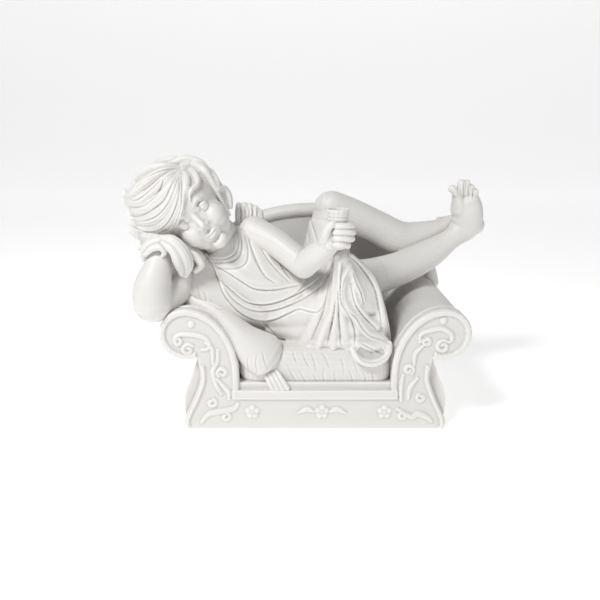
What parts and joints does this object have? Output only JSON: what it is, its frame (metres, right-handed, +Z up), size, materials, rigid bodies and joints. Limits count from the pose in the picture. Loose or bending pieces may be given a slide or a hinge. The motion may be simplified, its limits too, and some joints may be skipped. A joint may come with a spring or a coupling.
{
  "type": "reclining girl sculpture",
  "caption": "White marble sculpture of a girl reclining on a scroll-armed sofa, head propped on one hand and a small cup in the other, legs crossed over the far arm.",
  "frame": {"origin": "middle of the sofa's flat underside", "axes": "+Z up, front faces -Y, +X towards the girl's feet"},
  "size_m": [0.8453, 0.3998, 0.5951],
  "materials": {
    "marble": "white marble, rubbed smooth, satin"
  },
  "bodies": {
    "root": {"reclining_girl_on_sofa": "marble"}
  },
  "joints": []
}
